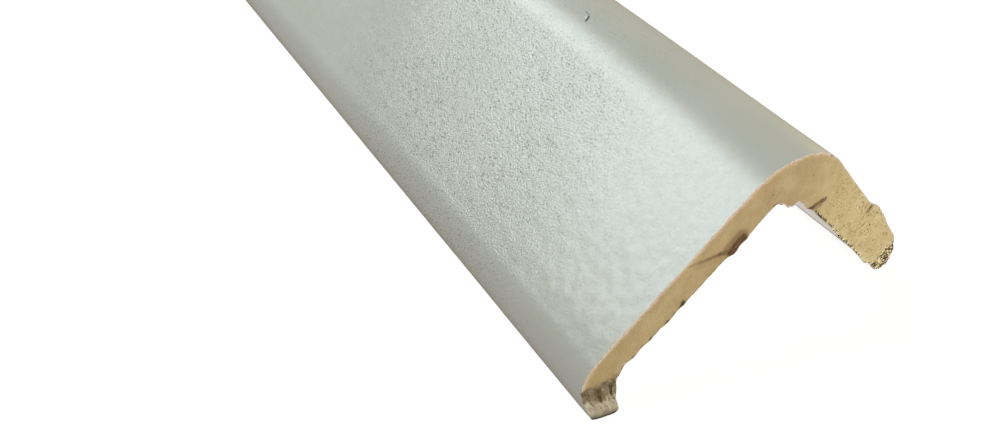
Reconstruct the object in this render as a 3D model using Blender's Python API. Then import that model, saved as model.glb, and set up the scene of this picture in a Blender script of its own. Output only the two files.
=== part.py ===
"""Outside-corner moulding: a short, square-cut length of coated wood.

Metres, +Z up. The moulding stands like a tent on the tips of its two legs, and its length lies
along Y. The end at -Y is the sawn one that shows, where the last fibres of the -X leg tore and left
a short sliver standing proud of the cut. The origin is on the floor, below the middle of the box.
"""
import math

import bmesh
import bpy

NAME = "corner_moulding"

# Driving sizes, in millimetres
LENGTH = 100.0              # from saw cut to saw cut
LEG_WIDTH = 33.3            # from the sharp outer corner to the furthest reach of a leg's nose
WALL_AT_CORNER = 4.8        # thickness of a leg where it starts
WALL_AT_TIP = 4.0           # thickness of a leg at its nose
CORNER_RADIUS = 8.0         # rounding of the outer corner
INNER_RADIUS = 3.2          # rounding of the inner corner
NOSE_RADIUS = 5.0           # rounding of a leg's outer edge
NOSE_SWEEP_DEG = 66.0       # how far the nose turns before it meets the flat foot
SLIVER_HEIGHT = 1.8         # height of the torn sliver where it leaves the cut
SLIVER_REACH = 2.1          # how far the sliver stands proud of the cut
SLIVER_TIP_HEIGHT = 0.8     # height of the sliver at its free end
SLIVER_LIFT = 0.2           # its free end rises this far off the floor
SLIVER_LEAN = 0.5           # its free end leans this far under the moulding

# How finely the round stretches are divided
CORNER_STEPS = 20
INNER_STEPS = 10
NOSE_STEPS = 10

MM = 0.001
DIAGONAL = math.sqrt(2.0)   # a leg stands at 45 degrees

# Sizes that follow from the driving ones, in millimetres
NOSE_CENTRE = LEG_WIDTH - NOSE_RADIUS
TAPER = (WALL_AT_CORNER - WALL_AT_TIP) / LEG_WIDTH


def to_section(side, along, depth):
    """Section x and z of a point on the leg at side -1 or +1, below the sharp outer corner.

    along runs down the outer face from that corner, and depth runs square to it into the wood.
    """
    return side * (along - depth) / DIAGONAL, -(along + depth) / DIAGONAL


def nose_point(turn):
    """Along and depth of the nose where it has turned by this many degrees from the outer face."""
    angle = math.radians(turn)
    return NOSE_CENTRE + NOSE_RADIUS * math.sin(angle), NOSE_RADIUS * (1.0 - math.cos(angle))


def inner_point_at(drop):
    """Along and depth of the point of the inner face that lies this far below the outer corner."""
    along = (drop * DIAGONAL - WALL_AT_CORNER) / (1.0 - TAPER)
    return along, WALL_AT_CORNER - TAPER * along


def foot_drop():
    """How far the flat feet lie below the sharp outer corner."""
    along, depth = nose_point(NOSE_SWEEP_DEG)
    return (along + depth) / DIAGONAL


def corner_arc():
    """The rounded outer corner, from the -X face to the +X face, through the crown."""
    points = []
    for step in range(CORNER_STEPS + 1):
        angle = math.radians(135.0 - 90.0 * step / CORNER_STEPS)
        x = CORNER_RADIUS * math.cos(angle)
        z = CORNER_RADIUS * (math.sin(angle) - DIAGONAL)
        points.append((x, z))
    return points


def inner_arc():
    """The rounded inner corner, from the +X inner face to the -X inner face."""
    fall = math.atan2(1.0 - TAPER, 1.0 + TAPER)
    along = WALL_AT_CORNER / (1.0 + TAPER)
    sharp_z = to_section(1, along, along)[1]
    centre_z = sharp_z - INNER_RADIUS / math.cos(fall)
    points = []
    for step in range(INNER_STEPS + 1):
        angle = math.pi / 2 - fall + 2.0 * fall * step / INNER_STEPS
        points.append((INNER_RADIUS * math.cos(angle), centre_z + INNER_RADIUS * math.sin(angle)))
    return points


def tip_points(side):
    """One leg's tip, from its outer face round the nose and over the foot to its inner face."""
    points = []
    for step in range(NOSE_STEPS + 1):
        turn = NOSE_SWEEP_DEG * step / NOSE_STEPS
        points.append(to_section(side, *nose_point(turn)))
    points.append(to_section(side, *inner_point_at(foot_drop())))
    points.append(to_section(side, *inner_point_at(foot_drop() - SLIVER_HEIGHT)))
    return points


def outline():
    """The closed section, clockwise as seen along +Y, with z measured up from the floor."""
    points = list(reversed(tip_points(-1))) + corner_arc() + tip_points(1) + inner_arc()
    return [(x, z + foot_drop()) for x, z in points]


def sliver_end(x, z):
    """Where a point of the sliver's root lies at its free end: lower, lifted and leaning in."""
    return x + SLIVER_LEAN, SLIVER_LIFT + z * SLIVER_TIP_HEIGHT / SLIVER_HEIGHT


def near_y():
    """The sawn plane at -Y, set so that the box with the sliver is centred on the origin."""
    return -(LENGTH - SLIVER_REACH) / 2.0


def make_material(name, colour, roughness):
    material = bpy.data.materials.new(name)
    material.use_nodes = True
    shader = material.node_tree.nodes["Principled BSDF"]
    shader.inputs["Base Color"].default_value = (*colour, 1.0)
    shader.inputs["Roughness"].default_value = roughness
    shader.inputs["Metallic"].default_value = 0.0
    material.diffuse_color = (*colour, 1.0)
    return material


def make_moulding():
    """Sweep the section along the length, close the cuts, and draw the sliver out of the near one."""
    section = outline()
    count = len(section)
    near, far = near_y(), near_y() + LENGTH
    form = bmesh.new()
    near_ring = [form.verts.new((x * MM, near * MM, z * MM)) for x, z in section]
    far_ring = [form.verts.new((x * MM, far * MM, z * MM)) for x, z in section]
    for index in range(count):
        after = (index + 1) % count
        form.faces.new((near_ring[index], near_ring[after], far_ring[after], far_ring[index]))
    far_cap = form.faces.new(reversed(far_ring))

    # The -X tip starts the outline: its inner face, its foot, and its nose up to the sliver's top
    root = [index for index in range(NOSE_STEPS + 3) if section[index][1] <= SLIVER_HEIGHT + 1e-6]
    near_cap = form.faces.new([near_ring[index] for index in range(root[-1], count)] + [near_ring[0]])
    tip_ring = []
    for index in root:
        x, z = sliver_end(*section[index])
        tip_ring.append(form.verts.new((x * MM, (near - SLIVER_REACH) * MM, z * MM)))
    torn = [form.faces.new(tip_ring)]
    closed = root + [root[0]]
    for place, (index, after) in enumerate(zip(closed, closed[1:])):
        beside = (place + 1) % len(root)
        corners = (near_ring[index], tip_ring[place], tip_ring[beside], near_ring[after])
        torn.append(form.faces.new(corners))

    for face in [near_cap, far_cap] + torn:
        face.material_index = 1
    bmesh.ops.recalc_face_normals(form, faces=form.faces[:])
    mesh = bpy.data.meshes.new(NAME)
    form.to_mesh(mesh)
    form.free()
    mesh.materials.append(make_material("coat", (0.60, 0.63, 0.60), 0.45))
    mesh.materials.append(make_material("bare_wood", (0.52, 0.39, 0.21), 0.85))
    mesh.shade_smooth()
    mesh.set_sharp_from_angle(angle=math.radians(30.0))
    moulding = bpy.data.objects.new(NAME, mesh)
    bpy.context.scene.collection.objects.link(moulding)
    return moulding


def main():
    for item in list(bpy.data.objects):
        bpy.data.objects.remove(item, do_unlink=True)
    make_moulding()


main()
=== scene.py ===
"""Looks of the corner moulding: a grainy light-grey coating over wood, sawn square and torn at one tip.

The frame is in metres. Sizes here are in millimetres until a mesh or a light is made. The section is
the frame's but for half a millimetre at the -X nose and under the +X leg, drawn finely enough to carry
the coating's waves and the saw cut's relief.
"""
import math

import bpy
import numpy as np
from mathutils import Matrix, Vector, geometry, noise


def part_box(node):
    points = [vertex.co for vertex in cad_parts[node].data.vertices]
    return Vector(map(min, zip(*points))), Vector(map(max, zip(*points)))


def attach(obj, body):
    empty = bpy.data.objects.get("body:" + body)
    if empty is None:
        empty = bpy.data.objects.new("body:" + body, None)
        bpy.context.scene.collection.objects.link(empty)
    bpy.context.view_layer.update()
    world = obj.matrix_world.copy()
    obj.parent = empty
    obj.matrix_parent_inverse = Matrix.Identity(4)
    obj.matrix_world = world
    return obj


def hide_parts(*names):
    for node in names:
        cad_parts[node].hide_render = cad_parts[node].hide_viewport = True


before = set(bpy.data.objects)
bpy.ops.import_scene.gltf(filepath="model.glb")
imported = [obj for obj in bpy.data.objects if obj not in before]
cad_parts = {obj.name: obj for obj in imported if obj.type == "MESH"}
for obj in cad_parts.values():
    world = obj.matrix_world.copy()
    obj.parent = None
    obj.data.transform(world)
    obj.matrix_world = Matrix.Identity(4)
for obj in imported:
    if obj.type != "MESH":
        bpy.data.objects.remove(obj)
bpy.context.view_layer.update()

NODE = "corner_moulding"
MM = 0.001
DIAGONAL = math.sqrt(2.0)   # a leg stands at 45 degrees

# The section, as the frame has it
LEG_WIDTH = 33.3
WALL_AT_CORNER = 4.8
WALL_AT_TIP = 4.0
CORNER_RADIUS = 8.0
INNER_RADIUS = 3.2
NOSE_RADIUS = 5.0
NOSE_SWEEP_DEG = 66.0
SLIVER_HEIGHT = 1.8
SLIVER_REACH = 2.1
SLIVER_TIP_HEIGHT = 0.8
SLIVER_LIFT = 0.2
SLIVER_LEAN = 0.5

NOSE_CENTRE = LEG_WIDTH - NOSE_RADIUS
TAPER = (WALL_AT_CORNER - WALL_AT_TIP) / LEG_WIDTH
INNER_FALL = math.atan2(1.0 - TAPER, 1.0 + TAPER)

# Where along the -X leg its coat starts to fall away, well before the nose, and by how much
ROLL_FROM = 25.6
ROLL_DEPTH = 0.06

# How much further in than the frame's the -X leg's nose stands, and where along the leg this starts
# and is complete
NOSE_IN = 0.45
NOSE_IN_FROM = NOSE_CENTRE - 0.3
NOSE_IN_TO = 31.7

# How much deeper than the frame's the +X leg's inner face lies at its foot, between its ends
RIGHT_HOLLOW = 0.27

FOOT_TOP = 0.02             # below this height the inner side is a foot
CORNER_ABOVE = 14.0         # above this height it is the inner corner

# The ends, from the frame's box
BOX_LOW, BOX_HIGH = (np.array(corner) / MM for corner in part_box(NODE))
NEAR_Y = BOX_LOW[1] + SLIVER_REACH
FAR_Y = BOX_HIGH[1]

# How finely the surfaces are divided
COAT_STEP = 0.29
BACK_STEP = 0.45
ROUND_STEP = 0.30
RINGS = 215
RING_GROWTH = 1.0           # rings stand closer at the near end by the factor e to this power
NEAR_CUT_STEP = 0.15
FAR_CUT_STEP = 0.42

COAT, BACK = 0, 1           # zones of the outline
SLOT_COAT, SLOT_BACK, SLOT_WOOD = 0, 1, 2


def to_section(side, along, depth):
    """Section x and z of a point on the leg at side -1 or +1, with z up from the floor."""
    return np.array((side * (along - depth) / DIAGONAL, FOOT_DROP - (along + depth) / DIAGONAL))


def leg_coordinates(x, z):
    """Along and depth, on its own leg, of section points given by x and z up from the floor."""
    drop = FOOT_DROP - z
    return (np.abs(x) + drop) / DIAGONAL, (drop - np.abs(x)) / DIAGONAL


def nose_end():
    """Along and depth of the point where the nose meets the flat foot."""
    angle = math.radians(NOSE_SWEEP_DEG)
    return NOSE_CENTRE + NOSE_RADIUS * math.sin(angle), NOSE_RADIUS * (1.0 - math.cos(angle))


FOOT_DROP = sum(nose_end()) / DIAGONAL      # the feet below the sharp outer corner


def smooth(value, low, high):
    """Smooth step from 0 at low to 1 at high; low may be the greater of the two."""
    t = np.clip((value - low) / (high - low), 0.0, 1.0)
    return t * t * (3.0 - 2.0 * t)


def bell(value, centre, width):
    return np.exp(-(((value - centre) / width) ** 2))


def noise_at(points, size, seed):
    """Smooth noise from about -1 to 1 at 3-D points in mm, with features of this size."""
    shift = Vector((17.3 * seed, -9.1 * seed, 5.7 * seed))
    scaled = np.asarray(points, dtype=float) / size
    return np.array([noise.noise(Vector(point) + shift) for point in scaled])


def straight(start, end, step):
    """Points of a straight run, without its last one."""
    start, end = np.array(start), np.array(end)
    count = max(1, round(float(np.linalg.norm(end - start)) / step))
    return [start + (end - start) * index / count for index in range(count)]


def arc(centre, radius, start_deg, end_deg, step):
    """Points of an arc in the section, without its last one."""
    start, end = math.radians(start_deg), math.radians(end_deg)
    count = max(1, round(abs(end - start) * radius / step))
    points = []
    for index in range(count):
        angle = start + (end - start) * index / count
        points.append(np.array(centre) + radius * np.array((math.cos(angle), math.sin(angle))))
    return points


def inner_foot(side):
    """Section point where a leg's inner face meets its foot."""
    along = (FOOT_DROP * DIAGONAL - WALL_AT_CORNER) / (1.0 - TAPER)
    return to_section(side, along, WALL_AT_CORNER - TAPER * along)


def across_foot(side, x):
    """0 where a leg's foot meets its nose, to 1 where it meets the inner face."""
    outer_x, inner_x = to_section(side, *nose_end())[0], inner_foot(side)[0]
    return (outer_x - x) / (outer_x - inner_x)


def turn_nose_in(points, zones):
    """Moves the outline's -X nose inwards, and its foot along with it."""
    x, z = points.T
    along, _ = leg_coordinates(x, z)
    nose = (zones == COAT) * smooth(along, NOSE_IN_FROM, NOSE_IN_TO)
    foot = (zones == BACK) * (z < FOOT_TOP) * (1.0 - across_foot(-1, x))
    points[:, 0] += NOSE_IN * (x < 0) * (nose + foot)


def make_outline():
    """The section's outline, clockwise as seen along +Y, and the zone of each of its segments."""
    fillet_along = WALL_AT_CORNER / (1.0 + TAPER)
    sharp = to_section(1, fillet_along, fillet_along)
    inner_centre = sharp - np.array((0.0, INNER_RADIUS / math.cos(INNER_FALL)))
    half_turn = math.degrees(INNER_FALL)
    corner_centre = to_section(1, CORNER_RADIUS, CORNER_RADIUS)
    nose_left = to_section(-1, NOSE_CENTRE, NOSE_RADIUS)
    nose_right = to_section(1, NOSE_CENTRE, NOSE_RADIUS)
    fillet = arc(inner_centre, INNER_RADIUS, 90.0 - half_turn, 90.0 + half_turn, ROUND_STEP)
    fillet_end = fillet[0] * np.array((-1.0, 1.0))
    turned = 135.0 + NOSE_SWEEP_DEG
    runs = [
        (BACK, straight(inner_foot(-1), to_section(-1, *nose_end()), ROUND_STEP)),
        (COAT, arc(nose_left, NOSE_RADIUS, turned, 135.0, COAT_STEP)),
        (COAT, straight(to_section(-1, NOSE_CENTRE, 0.0), to_section(-1, CORNER_RADIUS, 0.0), COAT_STEP)),
        (COAT, arc(corner_centre, CORNER_RADIUS, 135.0, 45.0, COAT_STEP)),
        (COAT, straight(to_section(1, CORNER_RADIUS, 0.0), to_section(1, NOSE_CENTRE, 0.0), COAT_STEP)),
        (COAT, arc(nose_right, NOSE_RADIUS, 45.0, 180.0 - turned, COAT_STEP)),
        (BACK, straight(to_section(1, *nose_end()), inner_foot(1), ROUND_STEP)),
        (BACK, straight(inner_foot(1), fillet[0], BACK_STEP)),
        (BACK, fillet),
        (BACK, straight(fillet_end, inner_foot(-1), BACK_STEP)),
    ]
    points = np.array([point for zone, run in runs for point in run])
    zones = np.array([zone for zone, run in runs for point in run])
    turn_nose_in(points, zones)
    return points, zones


def outward_normals(outline):
    """Unit normals of a clockwise outline, pointing out of the wood."""
    tangent = np.roll(outline, -1, axis=0) - np.roll(outline, 1, axis=0)
    tangent /= np.linalg.norm(tangent, axis=1)[:, None]
    return np.stack((-tangent[:, 1], tangent[:, 0]), axis=1)


def path_distance(points, path):
    """Distance of each point to an open path."""
    start, span = path[:-1], path[1:] - path[:-1]
    length2 = (span ** 2).sum(axis=1)
    nearest = np.full(len(points), np.inf)
    for base, run, squared in zip(start, span, length2):
        t = np.clip(((points - base) @ run) / squared, 0.0, 1.0)
        gap = points - base - t[:, None] * run
        nearest = np.minimum(nearest, np.hypot(gap[:, 0], gap[:, 1]))
    return nearest


def inside(points, outline):
    """Which points lie inside the closed outline."""
    x, z = points[:, 0], points[:, 1]
    within = np.zeros(len(points), dtype=bool)
    for (x0, z0), (x1, z1) in zip(outline, np.roll(outline, -1, axis=0)):
        if z0 != z1:
            crosses = (z0 > z) != (z1 > z)
            within ^= crosses & (x < (x1 - x0) * (z - z0) / (z1 - z0) + x0)
    return within


def scattered(outline, step, seed):
    """A loose triangular grid of points inside the outline, clear of its edge."""
    low, high = outline.min(axis=0), outline.max(axis=0)
    draw = np.random.default_rng(seed)
    rows = []
    for row, z in enumerate(np.arange(low[1], high[1], step * math.sin(math.radians(60.0)))):
        x = np.arange(low[0], high[0], step) + step * 0.5 * (row % 2)
        rows.append(np.stack((x, np.full(len(x), z)), axis=1))
    points = np.concatenate(rows)
    points += draw.uniform(-0.2, 0.2, points.shape) * step
    closed = np.concatenate((outline, outline[:1]))
    return points[inside(points, outline) & (path_distance(points, closed) > 0.6 * step)]


# Marks on the sawn face. Each is a stroke on one leg from one (along, depth) point to another.
KNOT_STROKES = [
    # side, from, to, half width, strength
    (-1, (11.05, 4.00), (12.75, 4.15), 0.46, 1.0),
    (-1, (11.15, 3.65), (12.65, 3.80), 0.78, 0.55),
    (-1, (12.80, 4.00), (13.60, 3.15), 0.29, 0.74),
    (-1, (13.40, 3.35), (14.60, 2.10), 0.23, 0.62),
    (-1, (14.15, 2.60), (15.30, 1.35), 0.19, 0.52),
    (-1, (15.30, 1.35), (16.10, 0.45), 0.12, 0.35),
    (-1, (13.10, 4.20), (15.50, 1.70), 0.50, 0.16),
    (1, (10.15, 4.45), (10.90, 3.30), 0.28, 0.80),
    (1, (10.50, 4.60), (11.00, 3.90), 0.34, 0.35),
    (-1, (7.10, 4.60), (6.20, 5.10), 0.14, 0.80),
    (1, (5.60, 5.60), (7.00, 5.05), 0.13, 0.60),
    (1, (19.70, 0.15), (19.90, 0.85), 0.24, 0.60),
]
DIRT_AND_SHADOW_STROKES = [
    (-1, (19.05, 4.00), (19.60, 4.45), 0.26, 0.88),
    (-1, (21.30, 4.18), (21.50, 4.32), 0.19, 0.85),
    (-1, (23.40, 4.14), (23.60, 4.26), 0.20, 0.85),
    (-1, (25.80, 4.10), (25.90, 4.20), 0.18, 0.70),
    (-1, (20.30, 4.22), (20.35, 4.30), 0.15, 0.70),
    (-1, (22.40, 4.18), (22.45, 4.26), 0.14, 0.60),
    (-1, (24.55, 4.10), (24.65, 4.18), 0.15, 0.65),
    (-1, (27.30, 4.02), (27.40, 4.10), 0.15, 0.60),
    (-1, (13.80, 4.42), (18.60, 4.35), 0.09, 0.55),
    # Painted shadow: a near-black line along the -X tip's bottom edge where it meets the floor, and a little
    # way up its nose
    (-1, (31.85, 4.00), (32.87, 2.97), 0.72, 1.0),
    (-1, (32.87, 2.97), (32.90, 2.00), 0.28, 0.95),
    (1, (9.70, 4.60), (10.20, 4.50), 0.20, 0.70),
    (1, (19.70, 0.25), (19.75, 0.40), 0.14, 0.50),
    (1, (6.10, 0.25), (6.15, 0.30), 0.14, 0.80),
]
# Where the -X leg's torn fibres part from the cut, as (along, depth) points
TEAR_LINE = [(31.7, 1.9), (31.0, 2.3), (30.9, 2.9), (30.1, 3.1), (30.2, 3.9), (29.6, 4.3), (29.0, 4.9)]

# Where the near edge stands off the section, as (place, amount) pairs. Along a leg the amount is
# how far the inner edge swells into the hollow; below the inner corner it is how far a burr hangs.
LEFT_SWELL = [
    (8.0, 0.0), (9.4, 0.1), (10.5, 0.15), (10.9, 0.43), (11.7, 0.30), (12.4, 0.70), (12.9, 0.50),
    (13.2, 0.20), (13.8, 0.02), (16.6, 0.12), (18.6, 0.12), (19.2, 0.27), (20.0, 0.10), (21.3, 0.29),
    (22.2, 0.10), (23.4, 0.20), (24.7, 0.06), (25.8, 0.22), (26.4, 0.08), (26.9, -0.06), (27.3, 0.12),
    (27.6, 0.24), (28.6, 0.17), (29.6, 0.04),
]
RIGHT_SWELL = [
    (8.2, 0.0), (8.8, 0.26), (9.6, 0.32), (12.9, 0.27), (15.9, 0.20), (19.5, 0.30), (22.7, 0.16),
    (26.7, 0.26), (28.1, 0.32), (30.0, 0.10), (31.0, -0.05),
]
CORNER_BURR = [
    (-1.5, 0.0), (-0.8, 0.55), (0.0, 1.15), (0.7, 1.55), (1.1, 1.45), (1.25, 0.85), (2.0, 0.70),
    (2.8, 0.40), (3.4, 0.30), (4.2, 0.0),
]
FLAP = (-1.5, 1.2)          # the part of the burr, in x, that is a flap of the thin inner coat


def stroke(points, side, start, end, half_width):
    """1 on a stroke, fading to 0 at its edge."""
    path = np.array((to_section(side, *start), to_section(side, *end)))
    return 1.0 - smooth(path_distance(points, path), 0.6 * half_width, 1.5 * half_width)


def strongest(points, strokes):
    """The strength of the strongest of these strokes at each point."""
    strength = np.zeros(len(points))
    for side, start, end, half_width, full in strokes:
        strength = np.maximum(strength, full * stroke(points, side, start, end, half_width))
    return strength


def on_plane(x, z):
    """Section points as 3-D points with y at 0."""
    return np.stack((x, np.zeros(len(x)), z), axis=1)


def fibre_noise(x, z):
    """Noise drawn out upwards, for torn fibres."""
    return noise_at(on_plane(x, 0.3 * z), 0.40, 13)


def saw_lines(x, z, across, up, squeeze, seed):
    """Noise drawn out into slanting saw lines; across and up are the cosine and sine of their slant."""
    return noise_at(on_plane(across * x + up * z, squeeze * (across * z - up * x)), 0.6, seed)


def near_marks(points, back_depth):
    """How strongly the knot's brown, dirt with a painted shadow line along the -X foot, and torn fibres show
    on the near sawn face.
    """
    x, z = points.T
    along, _ = leg_coordinates(x, z)
    fine = noise_at(on_plane(x, z), 0.32, 3)
    tear = np.array([to_section(-1, *point) for point in TEAR_LINE])
    frayed = smooth(fibre_noise(x, z) + 0.5 * fine, -0.6, 0.4)
    torn_left = bell(path_distance(points, tear), 0.0, 0.60) * frayed
    tip = smooth(along, 28.35, 31.15) * (x > 0)
    edge = smooth(back_depth, 0.40, 0.02) * (x > 0) * smooth(along, 9.0, 11.5)
    low_edge = smooth(back_depth, 0.35, 0.05) * (x < 0) * smooth(along, 17.0, 19.0)
    torn = np.maximum.reduce([0.85 * torn_left, 1.1 * tip, 1.2 * edge, 0.7 * low_edge])
    knot = np.clip(strongest(points, KNOT_STROKES) * (1.0 + 0.3 * fine), 0.0, 1.0)
    return knot, strongest(points, DIRT_AND_SHADOW_STROKES), torn


def near_cut(points):
    """How far the near sawn face stands from its plane in y, in mm: proud of it is negative."""
    x, z = points.T
    along, _ = leg_coordinates(x, z)
    flat = on_plane(x, z)
    fine, coarse = noise_at(flat, 0.35, 3), noise_at(flat, 1.6, 5)
    offset = 0.016 * saw_lines(x, z, 0.94, 0.34, 0.12, 6) + 0.05 * coarse + 0.020 * fine
    torn_right = smooth(along, 29.8, 31.0) * (x > 0)
    offset += torn_right * (0.34 * np.maximum(fine, 0.0) - 0.14)
    # The torn sliver: a fibrous ramp from the tear line down to the floor
    fibre = fibre_noise(x, z)
    ragged = (0.34 * fibre + 0.24 * fine + 0.16 * noise_at(flat, 0.17, 12)) * smooth(z, 0.4, 1.3)
    rise = smooth(z + ragged, SLIVER_HEIGHT + 0.15, 0.45) * (x < 0) * (along > 24.0)
    reach = SLIVER_REACH * (0.87 + 0.15 * smooth(x, -21.2, -19.6) + 0.05 * noise_at(flat, 0.8, 8))
    groove = 0.30 * bell(z, SLIVER_HEIGHT, 0.35) * (x < 0) * (along > 27.0)
    return offset - rise * reach + groove * smooth(fibre + fine, -0.3, 0.5)


def far_cut(points):
    """The same for the far sawn face: a cleaner cut, sunk a little, with slanting saw lines."""
    x, z = points.T
    return -0.06 - 0.04 * saw_lines(x, z, 0.88, 0.47, 0.10, 16)


def bend_sliver(verts):
    """Lets whatever stands proud of the near cut at the -X tip sink, lift and lean as the sliver does."""
    x, z = verts[:, 0].copy(), verts[:, 2].copy()
    proud = (NEAR_Y - verts[:, 1]) / SLIVER_REACH
    t = np.clip(proud, 0.0, 1.0) * (x < 0) * (z < 2.0 * SLIVER_HEIGHT)
    nose_x = BOX_LOW[0] + NOSE_IN
    inward = smooth(x, nose_x, BOX_LOW[0] + 2.5)
    lower = SLIVER_LIFT * (1.0 - 0.8 * inward) + z * SLIVER_TIP_HEIGHT / SLIVER_HEIGHT
    lean = np.maximum(SLIVER_LEAN + 0.85 - 0.78 * z, 0.0)
    outer = smooth(x, inner_foot(-1)[0], nose_x)
    verts[:, 2] += t * (lower - z) * smooth(t, 0.2, 1.0)
    verts[:, 0] += t * (0.35 - NOSE_IN * outer + lean * inward)
    # The fibres at its root swell towards the hollow
    behind_cut = np.exp(-(proud * SLIVER_REACH / 0.8) ** 2)
    root = np.where(proud > 0.0, 1.0 - 0.85 * smooth(proud, 0.25, 0.7), behind_cut)
    notch = 0.45 * bell(proud, 0.47, 0.13)
    swell = 1.05 * bell(z, 1.50, 0.85) * smooth(x, -20.6, -18.3) * (x < 0) * (z < 4.5)
    verts[:, 0] += swell * (root - notch)


def worn_edge(x, z):
    """How far the near edge stands out at the splinter, swells into the hollow and hangs in its corner."""
    along, depth = leg_coordinates(x, z)
    splinter = 0.45 * smooth(along, 19.6, 20.6) * smooth(along, 28.5, 21.8) * (x > 0)
    left, right = np.array(LEFT_SWELL).T, np.array(RIGHT_SWELL).T
    swell = np.where(x < 0, np.interp(along, *left), np.interp(along, *right)) * (depth > 3.0) * (z > 2.0)
    hang = np.interp(x, *np.array(CORNER_BURR).T) * (z > CORNER_ABOVE)
    return splinter, swell, hang


def ring_heights():
    """Where the rings stand along the length, closer together at the near end."""
    t = np.linspace(0.0, 1.0, RINGS)
    return NEAR_Y + (FAR_Y - NEAR_Y) * np.expm1(RING_GROWTH * t) / math.expm1(RING_GROWTH)


def coat_relief(points, coat):
    """How far the long surfaces lie inside the section: grain, waves, and the fall before the nose."""
    x, z = points[:, 0], points[:, 2]
    along, depth = leg_coordinates(x, z)
    grain = (0.5 + 0.5 * noise_at(points, 0.95, 1)) * (0.3 + 0.7 * smooth(np.abs(x), 3.5, 6.5))
    waves = 0.5 + 0.5 * noise_at(points * (1.0, 0.45, 1.0), 5.0, 2)
    roll = smooth(along, ROLL_FROM, NOSE_CENTRE) * smooth(depth, NOSE_RADIUS * 0.6, 0.0) * (x < 0)
    return np.where(coat, 0.035 * grain + 0.06 * waves + ROLL_DEPTH * roll, 0.03 * waves)


def right_hollow(points, coat):
    """How much deeper the +X leg's inner face lies at its foot, away from both ends."""
    x, y, z = points.T
    between_ends = smooth(y - NEAR_Y, 0.2, 1.5) * smooth(FAR_Y - y, 0.0, 4.0)
    return RIGHT_HOLLOW * between_ends * (x > 0) * ~coat


def make_walls(outline, zones):
    """The long surfaces as a grid of rings, with the coating's waves and the worn near edge."""
    count = len(outline)
    normals = outward_normals(outline)
    x, z = np.tile(outline, (RINGS, 1)).T
    nx, nz = np.tile(normals, (RINGS, 1)).T
    y = np.repeat(ring_heights(), count)
    coat = np.tile(zones == COAT, RINGS)
    points = np.stack((x, y, z), axis=1)
    along, depth = leg_coordinates(x, z)
    from_near = y - NEAR_Y

    foot = (z < FOOT_TOP) & ~coat
    hollow = right_hollow(points, coat)
    sunk = np.where(foot, 0.0, coat_relief(points, coat) + hollow * smooth(along, 12.0, 26.0))
    foot_shift = foot * hollow * DIAGONAL * across_foot(1, x)

    # The near edge: raised at a splinter, swollen into the hollow, with a burr in the inner corner
    splinter, swell, hang = worn_edge(x, z)
    rough = noise_at(points, 0.45, 9) + 0.6 * noise_at(points, 0.22, 10)
    edge = ~coat & (z > 2.0)
    lip = np.exp(-(from_near / 0.55) ** 2)
    raised = splinter * coat * np.exp(-from_near / 0.9) * (1.0 + 0.25 * rough)
    raised = raised + edge * (depth > 3.0) * (swell + 0.10 * rough) * lip
    hang = edge * hang * (1.0 + 0.15 * rough) * lip
    x = x + nx * (raised - sunk) + foot_shift
    z = z + nz * (raised - sunk) - hang

    # The end rings follow the cuts' relief, and the rings behind them less and less
    chips = 0.10 * np.maximum(noise_at(on_plane(*outline.T), 0.5, 11), 0.0)
    near_offset = np.tile(near_cut(outline) + chips * (zones == COAT), RINGS)
    far_offset = np.tile(far_cut(outline), RINGS)
    y = y + near_offset * smooth(from_near, 7.0, 0.0) + far_offset * smooth(FAR_Y - y, 3.0, 0.0)

    ring = np.arange(count)
    after = (ring + 1) % count
    faces = []
    for level in range(RINGS - 1):
        base, above = level * count, (level + 1) * count
        faces.append(np.stack((base + ring, base + after, above + after, above + ring), axis=1))
    slots = np.tile(np.where(zones == COAT, SLOT_COAT, SLOT_BACK), RINGS - 1)
    return np.stack((x, y, z), axis=1), np.concatenate(faces), slots


def fill_cut(outline, extra):
    """Triangles over a cut: the outline's points come first, then the loose ones inside."""
    flat = [Vector(point) for point in np.concatenate((outline, extra))]
    count = len(outline)
    edges = [(index, (index + 1) % count) for index in range(count)]
    made = geometry.delaunay_2d_cdt(flat, edges, [], 1, 1e-6)
    source = [origin[0] for origin in made[3]]
    return np.array([[source[corner] for corner in face] for face in made[2]])


def coat_and_back_depth(points, outline, zones):
    """Distance of cut-face points from the coated outside and from the inner side."""
    first = int(np.argmax(zones == COAT))
    last = len(zones) - int(np.argmax(zones[::-1] == COAT))
    coat_path = outline[first:last + 1]
    back_path = np.concatenate((outline[last + 3:], outline[:1]))
    return path_distance(points, coat_path), path_distance(points, back_path)


def follow_edge(points, coat_depth, back_depth):
    """Moves cut-face points along with the worn edge beside them."""
    splinter, swell, hang = worn_edge(points[:, 0], points[:, 1])
    by_coat, by_back = smooth(coat_depth, 1.4, 0.0), smooth(back_depth, 1.2, 0.0)
    outward = (splinter * by_coat - swell * by_back) / DIAGONAL
    return points + np.stack((np.sign(points[:, 0]) * outward, outward - hang * by_back), axis=1)


def mark_cuts(mesh, section, place, near_count, outline, zones):
    """Keeps the sawn faces' marks as attributes of their points, near ones first, at these places."""
    coat_depth, back_depth = coat_and_back_depth(section, outline, zones)
    knot, dirt_and_shadow, torn = near_marks(section, back_depth)
    x, z = section.T
    flap_and_shade = (x > FLAP[0]) * (x < FLAP[1]) * (z > CORNER_ABOVE) * smooth(back_depth, 0.45, 0.10)
    at_near = np.arange(len(section)) < near_count
    fields = {"knot": knot, "dirt_and_shadow": dirt_and_shadow, "torn": torn, "flap_and_shade": flap_and_shade}
    fields = {name: values * at_near for name, values in fields.items()} | {"coat_depth": coat_depth}
    for name, values in fields.items():
        column = np.zeros(len(mesh.vertices))
        column[place] = values
        mesh.attributes.new(name, "FLOAT", "POINT").data.foreach_set("value", column)


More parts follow.
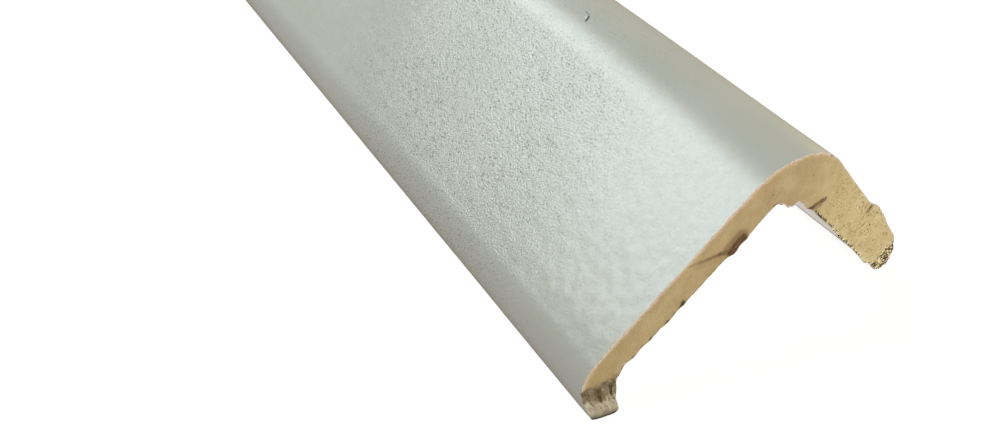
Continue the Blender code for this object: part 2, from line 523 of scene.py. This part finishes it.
def make_moulding():
    """The whole moulding as one closed mesh."""
    outline, zones = make_outline()
    count = len(outline)
    ring = np.arange(count)
    walls, quads, slots = make_walls(outline, zones)
    last_ring = len(walls) - count

    near_extra = scattered(outline, NEAR_CUT_STEP, 21)
    near_faces = fill_cut(outline, near_extra)
    near_moved = follow_edge(near_extra, *coat_and_back_depth(near_extra, outline, zones))
    near_verts = np.insert(near_moved, 1, NEAR_Y + near_cut(near_extra), axis=1)
    near_place = np.concatenate((ring, len(walls) + np.arange(len(near_extra))))

    far_extra = scattered(outline, FAR_CUT_STEP, 22)
    far_faces = fill_cut(outline, far_extra)
    far_verts = np.insert(far_extra, 1, FAR_Y + far_cut(far_extra), axis=1)
    far_start = len(walls) + len(near_extra)
    far_place = np.concatenate((last_ring + ring, far_start + np.arange(len(far_extra))))

    verts = np.concatenate((walls, near_verts, far_verts))
    bend_sliver(verts)
    verts = np.clip(verts, BOX_LOW, BOX_HIGH)
    faces = quads.tolist() + near_place[near_faces].tolist() + far_place[far_faces][:, ::-1].tolist()
    slots = slots.tolist() + [SLOT_WOOD] * (len(near_faces) + len(far_faces))

    mesh = bpy.data.meshes.new("moulding")
    mesh.from_pydata((verts * MM).tolist(), [], faces)
    mesh.polygons.foreach_set("material_index", slots)
    mesh.shade_smooth()
    mesh.set_sharp_from_angle(angle=math.radians(38.0))
    section = np.concatenate((outline, near_extra, outline, far_extra))
    mark_cuts(mesh, section, np.concatenate((near_place, far_place)), len(near_place), outline, zones)
    moulding = bpy.data.objects.new("moulding", mesh)
    bpy.context.scene.collection.objects.link(moulding)
    return moulding


class Shader:
    """A Principled material and the few kinds of node that this scene needs."""

    def __init__(self, name, roughness, specular=0.5):
        self.material = bpy.data.materials.new(name)
        self.material.use_nodes = True
        self.tree = self.material.node_tree
        self.surface = self.tree.nodes["Principled BSDF"]
        self.surface.inputs["Roughness"].default_value = roughness
        self.surface.inputs["Specular IOR Level"].default_value = specular
        self.place = self.tree.nodes.new("ShaderNodeTexCoord").outputs["Object"]

    def feed(self, socket, value):
        if isinstance(value, bpy.types.NodeSocket):
            self.tree.links.new(value, socket)
        else:
            socket.default_value = value

    def maths(self, operation, first, second=0.0, third=0.0):
        node = self.tree.nodes.new("ShaderNodeMath")
        node.operation = operation
        for socket, value in zip(node.inputs, (first, second, third)):
            self.feed(socket, value)
        return node.outputs["Value"]

    def times(self, first, *others):
        """The product of values."""
        for other in others:
            first = self.maths("MULTIPLY", first, other)
        return first

    def step(self, value, low, high, bottom=0.0, top=1.0):
        """Smooth step of a value from bottom at low to top at high."""
        node = self.tree.nodes.new("ShaderNodeMapRange")
        node.interpolation_type = "SMOOTHSTEP"
        self.feed(node.inputs["Value"], value)
        for name, number in (("From Min", low), ("From Max", high), ("To Min", bottom), ("To Max", top)):
            node.inputs[name].default_value = number
        return node.outputs["Result"]

    def stretched(self, scale, turn=(0.0, 0.0, 0.0)):
        node = self.tree.nodes.new("ShaderNodeMapping")
        self.feed(node.inputs["Vector"], self.place)
        node.inputs["Scale"].default_value = scale
        node.inputs["Rotation"].default_value = [math.radians(angle) for angle in turn]
        return node.outputs["Vector"]

    def noise(self, size, detail=2.0, roughness=0.5, place=None):
        """Noise with features of this size in mm, around 0.5."""
        node = self.tree.nodes.new("ShaderNodeTexNoise")
        self.feed(node.inputs["Vector"], place or self.place)
        node.inputs["Scale"].default_value = 1.0 / (size * MM)
        node.inputs["Detail"].default_value = detail
        node.inputs["Roughness"].default_value = roughness
        return node.outputs["Fac"]

    def cells(self, size, place=None):
        """Distance to the nearest of points scattered at this spacing in mm, in units of it."""
        node = self.tree.nodes.new("ShaderNodeTexVoronoi")
        self.feed(node.inputs["Vector"], place or self.place)
        node.inputs["Scale"].default_value = 1.0 / (size * MM)
        return node.outputs["Distance"]

    def attribute(self, name):
        node = self.tree.nodes.new("ShaderNodeAttribute")
        node.attribute_name = name
        return node.outputs["Fac"]

    def axis(self, name):
        node = self.tree.nodes.new("ShaderNodeSeparateXYZ")
        self.feed(node.inputs["Vector"], self.place)
        return self.maths("DIVIDE", node.outputs[name], MM)

    def mix(self, factor, first, second):
        """Mixes two colours, each a tuple or a socket."""
        node = self.tree.nodes.new("ShaderNodeMix")
        node.data_type = "RGBA"
        self.feed(node.inputs["Factor"], factor)
        for socket, colour in ((node.inputs["A"], first), (node.inputs["B"], second)):
            self.feed(socket, (*colour, 1.0) if isinstance(colour, tuple) else colour)
        return node.outputs["Result"]

    def distance(self, centre):
        """Distance in mm from a point given in mm."""
        node = self.tree.nodes.new("ShaderNodeVectorMath")
        node.operation = "DISTANCE"
        self.feed(node.inputs[0], self.place)
        node.inputs[1].default_value = [value * MM for value in centre]
        return self.maths("DIVIDE", node.outputs["Value"], MM)

    def finish(self, colour, height=None, relief=0.0, roughness=None):
        """Sets the colour, a bump whose full height is relief in mm, and the roughness."""
        self.feed(self.surface.inputs["Base Color"], colour)
        if roughness is not None:
            self.feed(self.surface.inputs["Roughness"], roughness)
        if height is not None:
            bump = self.tree.nodes.new("ShaderNodeBump")
            bump.inputs["Distance"].default_value = relief * MM
            self.feed(bump.inputs["Height"], height)
            self.feed(self.surface.inputs["Normal"], bump.outputs["Normal"])
        return self.material


# The nick: the centre and radius of its circle, and the middles of its bold part, faint end and painted
# glint
NICK_CENTRE = (-2.85, NEAR_Y + 30.16, 21.50)
NICK_RADIUS = 1.20
NICK_BOLD = (-2.25, NEAR_Y + 29.10, 21.64)
NICK_FAINT = (-1.75, NEAR_Y + 29.85, 21.77)
NICK_GLINT = (-2.24, NEAR_Y + 29.49, 21.63)


def nick_mask(shader, fine):
    """A short piece of a circle on the rounded corner, broken up at its far end."""
    ring = shader.maths("ABSOLUTE", shader.maths("SUBTRACT", shader.distance(NICK_CENTRE), NICK_RADIUS))
    bold = shader.step(shader.distance(NICK_BOLD), 0.56, 0.38)
    faint = shader.times(shader.step(shader.distance(NICK_FAINT), 0.75, 0.40),
                         shader.step(fine, 0.48, 0.58, 0.0, 0.7))
    return shader.times(shader.step(ring, 0.13, 0.06), shader.maths("MAXIMUM", bold, faint))


def coat_material():
    """Semi-gloss light grey coating: grain with pits, crisp half-way along, pin specks and a nick."""
    shader = Shader("coat", 0.26, 1.0)
    length, up = shader.axis("Y"), shader.axis("Z")
    off_corner = shader.step(shader.maths("ABSOLUTE", shader.axis("X")), 3.4, 6.2, 0.25, 1.0)
    # How strong the fine grain is, and the wider grain, along the moulding
    crisp = shader.times(shader.step(length, NEAR_Y + 5.0, NEAR_Y + 26.0, 0.14, 1.0),
                         shader.step(length, NEAR_Y + 38.0, NEAR_Y + 64.0, 1.0, 0.06), off_corner)
    calm = shader.times(shader.step(length, NEAR_Y + 3.0, NEAR_Y + 25.0, 0.24, 0.36),
                        shader.step(length, NEAR_Y + 45.0, NEAR_Y + 68.0, 1.0, 0.28), off_corner)
    fine, middle, patches = shader.noise(0.20, 1.0), shader.noise(0.75, 1.5), shader.noise(12.0, 2.0)

    grey = shader.mix(shader.step(patches, 0.35, 0.65), (0.560, 0.585, 0.525), (0.590, 0.612, 0.562))
    # Painted light: a little paler and cooler round the noses, standing in for cool light falling on them
    grey = shader.mix(shader.step(up, 6.5, 1.0), grey, (0.640, 0.680, 0.680))
    pits = shader.times(shader.step(fine, 0.44, 0.27), crisp, 0.72)
    colour = shader.mix(pits, grey, (0.20, 0.23, 0.18))
    # Deeper pits, fewer and darker, in loose groups, less seen on the nose
    deep = shader.times(shader.step(shader.cells(0.50), 0.36, 0.18), crisp,
                        shader.step(shader.noise(1.6, 1.0), 0.38, 0.60),
                        shader.step(up, 3.0, 9.0, 0.22, 0.66))
    colour = shader.mix(deep, colour, (0.13, 0.145, 0.11))
    specks = shader.times(shader.step(shader.cells(3.4), 0.050, 0.028),
                          shader.step(shader.noise(9.0), 0.52, 0.60), 0.6)
    colour = shader.mix(specks, colour, (0.16, 0.15, 0.12))
    nick = nick_mask(shader, fine)
    colour = shader.mix(shader.times(nick, 0.95), colour, (0.035, 0.025, 0.020))
    # Painted glint: a pale spot in the nick, where its raised chip would catch the light
    lip = shader.step(shader.distance(NICK_GLINT), 0.20, 0.12, 0.0, 0.8)
    colour = shader.mix(lip, colour, (0.93, 0.93, 0.92))

    height = shader.maths("ADD", shader.times(fine, crisp, 1.1), shader.times(middle, calm))
    height = shader.maths("SUBTRACT", height, nick)
    roughness = shader.maths("MULTIPLY_ADD", off_corner, -0.09, shader.step(middle, 0.3, 0.7, 0.33, 0.38))
    return shader.finish(colour, height, 0.05, roughness)


def back_material():
    """The inner side: a thinner, flatter coat through which the wood's lengthwise grain shows."""
    shader = Shader("back_coat", 0.55, 0.5)
    lengthwise = shader.stretched((1.0, 0.06, 1.0))
    grain = shader.noise(0.7, 4.0, 0.6, lengthwise)
    patches = shader.noise(8.0, 2.0, 0.5, lengthwise)
    white = shader.mix(shader.step(patches, 0.35, 0.7), (0.555, 0.540, 0.495), (0.520, 0.498, 0.445))
    colour = shader.mix(shader.step(grain, 0.62, 0.78, 0.0, 0.4), white, (0.45, 0.395, 0.310))
    return shader.finish(colour, grain, 0.06)


def rim_colours(shader, wood, across, fine):
    """The coating's edge round the wood: pinkish inside, whitish outside, hardly seen on the +X leg."""
    ragged = shader.maths("MULTIPLY_ADD", shader.maths("SUBTRACT", fine, 0.5), 0.9,
                          shader.attribute("coat_depth"))
    shown = shader.step(across, 7.0, 1.0, 0.25, 1.0)
    wide = shader.step(across, 2.0, -4.0, 0.0, 0.20)
    rim = shader.step(shader.maths("SUBTRACT", ragged, wide), 0.50, 0.02)
    wood = shader.mix(shader.times(rim, shown), wood, (0.65, 0.50, 0.385))
    edge = shader.step(ragged, 0.20, 0.05, 0.0, 0.6)
    return shader.mix(shader.times(edge, shown), wood, (0.70, 0.66, 0.60))


def wood_material():
    """Sawn end grain: tan, darker on the -X leg, with pores, growth rings, the knot and torn fibres."""
    shader = Shader("sawn_wood", 0.85, 0.2)
    across, up = shader.axis("X"), shader.axis("Z")
    mottle = shader.noise(2.2, 3.0, 0.6)
    fine = shader.noise(0.30, 2.0, 0.6)
    slanted = shader.stretched((1.0, 1.0, 0.22), (0.0, 52.0, 0.0))
    rings = shader.noise(1.1, 2.0, 0.5, slanted)

    # The -X leg's darker tan is partly the wood's own tone and partly painted shade, for less light on it
    # than on the +X leg
    left = shader.mix(shader.step(mottle, 0.35, 0.7), (0.432, 0.333, 0.181), (0.500, 0.402, 0.233))
    right = shader.mix(shader.step(mottle, 0.35, 0.7), (0.560, 0.460, 0.258), (0.638, 0.538, 0.318))
    # The -X leg has soft pinkish patches
    left = shader.mix(shader.step(shader.noise(3.4, 1.0), 0.50, 0.66, 0.0, 0.42), left, (0.53, 0.375, 0.215))
    wood = shader.mix(shader.step(across, -0.5, 10.5), left, right)
    wood = shader.mix(shader.step(rings, 0.50, 0.66, 0.0, 0.22), wood, (0.36, 0.26, 0.13))
    wood = shader.mix(shader.step(fine, 0.56, 0.72, 0.0, 0.18), wood, (0.30, 0.21, 0.10))

    # Crumbs and pores, most of them on the +X leg, where the cut is coarser
    on_right = shader.step(across, 3.0, 10.0)
    coarse = shader.times(on_right, shader.step(shader.noise(1.7, 1.0), 0.42, 0.58, 0.40, 1.0))
    crumbs = shader.noise(0.19, 2.0)
    wood = shader.mix(shader.times(coarse, shader.step(crumbs, 0.50, 0.30, 0.0, 0.75)), wood,
                      (0.33, 0.24, 0.11))
    wood = shader.mix(shader.times(coarse, shader.step(crumbs, 0.55, 0.72, 0.0, 0.60)), wood,
                      (0.74, 0.64, 0.40))
    pores = shader.times(shader.step(shader.cells(0.40), 0.30, 0.14), coarse,
                         shader.step(shader.noise(1.2), 0.42, 0.52))
    wood = shader.mix(shader.times(pores, 0.70), wood, (0.17, 0.11, 0.05))
    wood = rim_colours(shader, wood, across, fine)

    # The burr in the inner corner is a flap of the thin inner coat, with painted shade in a brown band where
    # it stands off the wood
    flap_and_shade = shader.attribute("flap_and_shade")
    # Painted shade: a brown band along the flap's root
    wood = shader.mix(shader.times(flap_and_shade, 0.75), wood, (0.42, 0.27, 0.19))
    wood = shader.mix(shader.step(flap_and_shade, 0.80, 0.97, 0.0, 0.9), wood, (0.76, 0.69, 0.66))

    # The torn sliver: greyed fibres that run along the moulding, darkened with painted shade where they part
    # from the cut
    near = shader.step(shader.axis("Y"), NEAR_Y + 3.0, NEAR_Y + 2.0)
    left_tip = shader.times(shader.step(across, -14.0, -15.0), near)
    level = shader.maths("MULTIPLY_ADD", shader.maths("SUBTRACT", shader.noise(0.55, 3.0), 0.5), 2.2, up)
    sliver = shader.times(shader.step(level, 2.5, 1.3), left_tip)
    fibres = shader.noise(0.40, 3.0, 0.6, shader.stretched((1.0, 0.25, 0.6)))
    grey = shader.mix(shader.step(fibres, 0.36, 0.62), (0.51, 0.465, 0.365), (0.63, 0.59, 0.48))
    wood = shader.mix(shader.times(sliver, 0.85), wood, grey)
    # Painted shade in the groove where the fibres part from the cut
    painted_tear_shade = shader.times(shader.step(level, 0.9, 1.6), shader.step(level, 3.1, 1.7), left_tip, 0.66)
    wood = shader.mix(painted_tear_shade, wood, (0.14, 0.095, 0.048))
    knot = shader.times(shader.attribute("knot"), shader.step(fine, 0.2, 0.6, 1.0, 0.9))
    wood = shader.mix(knot, wood, (0.082, 0.034, 0.016))

    # Where the cut is torn, pale fibre ends stand between gaps darkened with painted shade
    torn = shader.attribute("torn")
    chips = shader.noise(0.27, 2.0)
    ends = shader.times(shader.step(chips, 0.54, 0.62), on_right, torn)
    wood = shader.mix(ends, wood, (0.90, 0.80, 0.56))
    # Painted shade: the gaps between the torn fibres are darkened nearly to black
    shaded_gaps = shader.step(shader.maths("MULTIPLY_ADD", torn, -0.24, chips), 0.26, 0.20, 0.0, 0.87)
    shaded_gaps = shader.times(shaded_gaps, shader.step(across, -14.0, -15.0, 1.0, 0.40))
    # Dirt, and a painted shadow along the -X foot's bottom edge, mixed near black with the gaps' painted
    # shade
    dirt_and_shadow = shader.times(shader.attribute("dirt_and_shadow"), shader.step(fine, 0.25, 0.6, 1.0, 0.93))
    wood = shader.mix(shader.maths("MAXIMUM", dirt_and_shadow, shaded_gaps), wood, (0.018, 0.012, 0.007))

    height = shader.maths("MULTIPLY_ADD", fibres, sliver, shader.times(fine, 0.6))
    height = shader.maths("SUBTRACT", height, shader.maths("ADD", pores, shaded_gaps))
    return shader.finish(wood, height, 0.10)


FLOOR_SIZE = 3000.0
FLOOR_GLOW = 0.87


def floor_material():
    """Pale table top with a very faint unevenness."""
    shader = Shader("floor", 0.9, 0.1)
    colour = shader.mix(shader.step(shader.noise(40.0), 0.3, 0.7), (0.29, 0.30, 0.31), (0.31, 0.32, 0.33))
    shader.surface.inputs["Emission Color"].default_value = (1.0, 1.0, 1.0, 1.0)
    shader.surface.inputs["Emission Strength"].default_value = FLOOR_GLOW
    return shader.finish(colour)


def make_floor():
    half = FLOOR_SIZE * MM / 2.0
    mesh = bpy.data.meshes.new("floor")
    corners = [(-half, -half, 0.0), (half, -half, 0.0), (half, half, 0.0), (-half, half, 0.0)]
    mesh.from_pydata(corners, [], [(0, 1, 2, 3)])
    mesh.materials.append(floor_material())
    floor = bpy.data.objects.new("floor", mesh)
    bpy.context.scene.collection.objects.link(floor)
    floor.visible_diffuse = False
    floor.visible_glossy = False


def make_light(name, place, target, width, height, radiance, glossy=True):
    """A soft light of this size that faces a target, all in mm; gloss may be kept from mirroring it."""
    data = bpy.data.lights.new(name, "AREA")
    data.shape = "RECTANGLE"
    data.size = width * MM
    data.size_y = height * MM
    data.energy = math.pi * width * height * MM ** 2
    data.color = radiance
    light = bpy.data.objects.new(name, data)
    light.location = Vector(place) * MM
    light.rotation_euler = (Vector(place) - Vector(target)).to_track_quat("Z", "Y").to_euler()
    light.visible_camera = False
    light.visible_glossy = glossy
    bpy.context.scene.collection.objects.link(light)


AMBIENT = (0.322, 0.266, 0.206)     # what lights the scene from all around
BACKDROP = (0.86, 0.86, 0.87)       # what is seen beyond the floor


def make_world():
    """A dim warm light from all around, and a pale backdrop beyond the floor."""
    world = bpy.data.worlds.new("studio")
    world.use_nodes = True
    tree = world.node_tree
    around = tree.nodes["Background"]
    around.inputs["Color"].default_value = (*AMBIENT, 1.0)
    backdrop = tree.nodes.new("ShaderNodeBackground")
    backdrop.inputs["Color"].default_value = (*BACKDROP, 1.0)
    seen = tree.nodes.new("ShaderNodeLightPath").outputs["Is Camera Ray"]
    either = tree.nodes.new("ShaderNodeMixShader")
    for socket, value in zip(either.inputs, (seen, around.outputs[0], backdrop.outputs[0])):
        tree.links.new(value, socket)
    tree.links.new(either.outputs[0], tree.nodes["World Output"].inputs["Surface"])
    bpy.context.scene.world = world


def make_lights():
    make_world()
    coat = Vector((-8.0, NEAR_Y + 25.0, 14.0))
    for name, direction, width, height, radiance, glossy in (
            ("key", (-0.415, 0.595, 0.688), 356.0, 206.0, (4.28, 4.94, 5.25), True),
            ("front", (0.45, -0.88, 0.15), 120.0, 120.0, (25.2, 25.4, 23.5), False),
            ("side", (0.95, 0.15, 0.12), 200.0, 200.0, (1.6, 1.25, 0.7), True)):
        place = coat + Vector(direction).normalized() * 400.0
        make_light(name, place, coat, width, height, radiance, glossy)
    # What a pale floor throws up into the hollow
    under = (0.0, (NEAR_Y + FAR_Y) / 2.0, 0.2)
    make_light("under", under, (under[0], under[1], 10.0), 38.4, 99.0, (0.80, 0.80, 0.84))


# The camera, solved from the photograph: place in mm from the sharp outer corner at the near cut
CAMERA_FROM_CORNER = (-59.83, -40.79, 42.98)
CAMERA_LOOK = (0.4375, 0.6305, -0.6411)
CAMERA_UP = (0.2931, 0.5740, 0.7646)
FOCAL_PIXELS = 936.2
IMAGE_WIDTH = 1000
SENSOR_WIDTH = 36.0


def make_camera():
    data = bpy.data.cameras.new("camera")
    data.sensor_fit = "HORIZONTAL"
    data.sensor_width = SENSOR_WIDTH
    data.lens = FOCAL_PIXELS / IMAGE_WIDTH * SENSOR_WIDTH
    data.clip_start = 1.0 * MM
    data.clip_end = 10.0
    camera = bpy.data.objects.new("camera", data)
    corner = Vector((0.0, NEAR_Y, BOX_LOW[2] + FOOT_DROP))
    look = Vector(CAMERA_LOOK).normalized()
    right = look.cross(Vector(CAMERA_UP)).normalized()
    up = right.cross(look)
    turn = Matrix((right, up, -look)).transposed()
    camera.matrix_world = Matrix.Translation((corner + Vector(CAMERA_FROM_CORNER)) * MM) @ turn.to_4x4()
    bpy.context.scene.collection.objects.link(camera)
    bpy.context.scene.camera = camera


def main():
    make_camera()
    moulding = make_moulding()
    for material in (coat_material(), back_material(), wood_material()):
        moulding.data.materials.append(material)
    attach(moulding, "root")
    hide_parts(NODE)
    make_floor()
    make_lights()
    bpy.context.scene.view_settings.view_transform = "Standard"


main()
